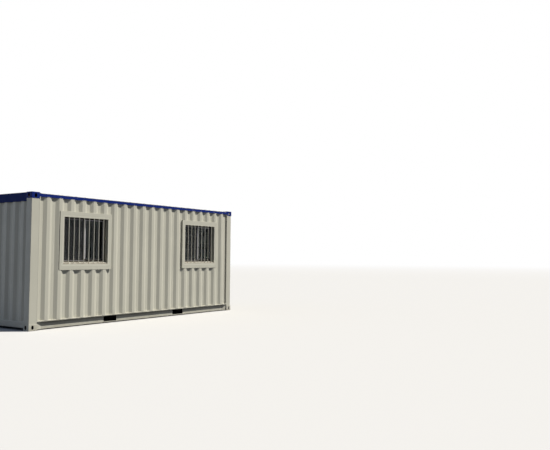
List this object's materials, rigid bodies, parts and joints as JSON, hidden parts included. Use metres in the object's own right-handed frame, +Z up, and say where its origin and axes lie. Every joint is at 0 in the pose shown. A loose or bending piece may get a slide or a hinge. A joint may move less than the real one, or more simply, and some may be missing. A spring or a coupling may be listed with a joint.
{
  "type": "shipping container cabin",
  "caption": "Twenty foot steel container made into a cabin: corrugated walls, barred and framed windows on both long sides, cargo doors at one end, corner fittings.",
  "frame": {"origin": "centre of the footprint, at the level of the bottom fittings' undersides", "axes": "+X along the container towards the cargo doors, +Y from the front long wall to the back one, +Z up"},
  "size_m": [6.058, 2.438, 2.591],
  "materials": {
    "cream_paint": "satin paint",
    "blue_paint": "satin paint",
    "underbody_coating": "dull wax coating",
    "plywood": "worn plywood",
    "window_aluminium": "mill finish",
    "window_glass": "clear float glass",
    "door_gear": "hot-dip galvanized",
    "door_seal": "matt"
  },
  "bodies": {
    "root": {"bottom_side_rail_front": "cream_paint", "bottom_side_rail_back": "cream_paint", "bottom_end_rail": "cream_paint", "door_sill": "cream_paint", "sill_end_plates": "cream_paint", "cross_members": "underbody_coating", "fork_pocket_left": "underbody_coating", "fork_pocket_right": "underbody_coating", "floor_panels": "plywood", "bottom_fitting_front_left": "cream_paint", "bottom_fitting_front_right": "cream_paint", "bottom_fitting_back_left": "cream_paint", "bottom_fitting_back_right": "cream_paint", "top_fitting_front_left": "blue_paint", "top_fitting_front_right": "blue_paint", "top_fitting_back_left": "blue_paint", "top_fitting_back_right": "blue_paint", "front_left_post": "cream_paint", "back_left_post": "cream_paint", "front_right_post": "cream_paint", "back_right_post": "cream_paint", "top_side_rail_front": "blue_paint", "top_side_rail_back": "blue_paint", "blind_end_header": "blue_paint", "door_header": "blue_paint", "roof_panel": "cream_paint", "roof_corner_plates": "blue_paint", "front_wall": "cream_paint", "back_wall": "cream_paint", "blind_end_wall": "cream_paint", "front_left_surround": "cream_paint", "front_right_surround": "cream_paint", "back_left_surround": "cream_paint", "back_right_surround": "cream_paint", "front_window_frames": "window_aluminium", "front_window_sashes": "window_aluminium", "front_window_glass": "window_glass", "back_window_frames": "window_aluminium", "back_window_sashes": "window_aluminium", "back_window_glass": "window_glass", "front_door_leaf": "cream_paint", "back_door_leaf": "cream_paint", "front_door_lock_rods": "door_gear", "back_door_lock_rods": "door_gear", "door_hinges": "cream_paint", "door_gaskets": "door_seal", "cam_keepers": "door_gear"}
  },
  "joints": []
}
